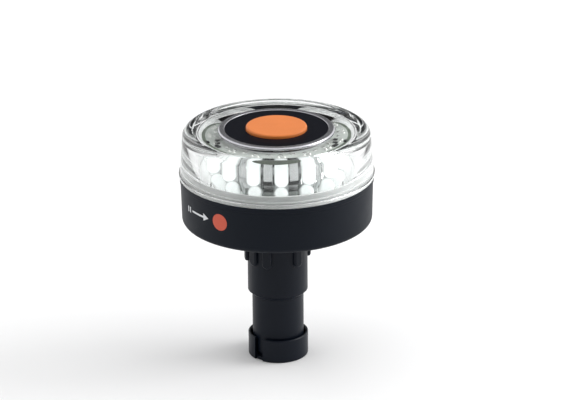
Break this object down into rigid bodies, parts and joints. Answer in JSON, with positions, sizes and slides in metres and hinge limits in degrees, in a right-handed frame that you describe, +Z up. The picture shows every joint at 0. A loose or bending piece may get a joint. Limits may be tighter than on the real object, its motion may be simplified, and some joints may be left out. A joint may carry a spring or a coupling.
{
  "type": "marine beacon light",
  "caption": "Portable all-round light: clear lens head with a push button, screwed onto a battery casing that twists onto a spigot for a deck socket.",
  "frame": {"origin": "centre of the foot of the spigot, on the surface that it stands on", "axes": "+Z up along the light's axis, through the foot, the casing and the button; -Y is the side that carries the alignment dot, to the left"},
  "size_m": [0.084, 0.084, 0.1055],
  "materials": {
    "casing_plastic": "fine spark-eroded texture",
    "stem_plastic": "smooth moulded, slightly satin",
    "clear_plastic": "polished",
    "ring_metal": "turned, satin",
    "surround_plastic": "satin",
    "button_rubber": "soft matte",
    "black_rubber": "smooth",
    "reflector": "vacuum metallised",
    "led_epoxy": "clear, lit",
    "board": "white solder mask",
    "chip_black": "moulded",
    "tinned": "tin plate",
    "white_plastic": "moulded",
    "steel": "stainless",
    "brass_plate": "plain",
    "cell_jacket": "printed sleeve",
    "tray_plastic": "moulded"
  },
  "bodies": {
    "casing": {"battery_casing": "casing_plastic", "seal_ring": "black_rubber", "battery_tray": "tray_plastic", "tray_screws": "steel", "guide_pins": "steel", "battery_cell_1": "cell_jacket", "battery_cell_2": "cell_jacket", "battery_cell_3": "cell_jacket", "battery_springs": "steel", "contact_plates": "brass_plate", "supply_fingers": "brass_plate"},
    "module": {"contact_board": "board", "contact_pads": "tinned", "floor_mirror": "reflector", "reflector_drum": "reflector", "board_pillars": "steel", "lower_board_screws": "steel", "upper_board_screws": "steel", "led_board": "board", "switch_board": "board", "board_links": "tinned", "leds": "led_epoxy", "led_leads": "tinned", "switch_body": "chip_black", "switch_cover": "tinned", "controller_chip": "chip_black", "chip_legs": "tinned", "drive_inductor": "chip_black", "chip_resistors": "chip_black"},
    "head": {"lens_cover": "clear_plastic", "snap_ring": "white_plastic", "ring_gasket": "black_rubber", "trim_ring": "ring_metal", "button_surround": "surround_plastic", "lock_nut": "surround_plastic", "clamp_ring": "surround_plastic", "button_boot": "black_rubber"},
    "button": {"push_button": "button_rubber"},
    "plunger": {"switch_plunger": "chip_black"},
    "stem": {"mount_stem": "stem_plastic", "spigot_collar": "stem_plastic", "lock_washer": "black_rubber"}
  },
  "joints": [
    {"name": "module_lift", "type": "slide", "parent": "casing", "child": "module", "axis": [0, 0, 1], "range_m": [0, 0.00601]},
    {"name": "head_turn", "type": "hinge", "parent": "module", "child": "head", "pos_m": [0, 0, 0.0836], "axis": [0, 0, 1], "range_deg": [0, 720]},
    {"name": "button_press", "type": "slide", "parent": "head", "child": "button", "axis": [0, 0, -1], "range_m": [0, 0.0005], "stiffness_N_per_m": 4000, "springref_m": -0.0003, "deforming": ["button_boot"]},
    {"name": "plunger_press", "type": "slide", "parent": "module", "child": "plunger", "axis": [0, 0, -1], "range_m": [0, 0.0005]},
    {"name": "stem_twist", "type": "hinge", "parent": "casing", "child": "stem", "pos_m": [0, 0, 0.0629], "axis": [0, 0, -1], "range_deg": [0, 60]}
  ],
  "couplings": [
    {"joint": "module_lift", "follows": "head_turn", "m_per_rad": 0.00047746},
    {"joint": "plunger_press", "follows": "button_press", "ratio": 1}
  ]
}
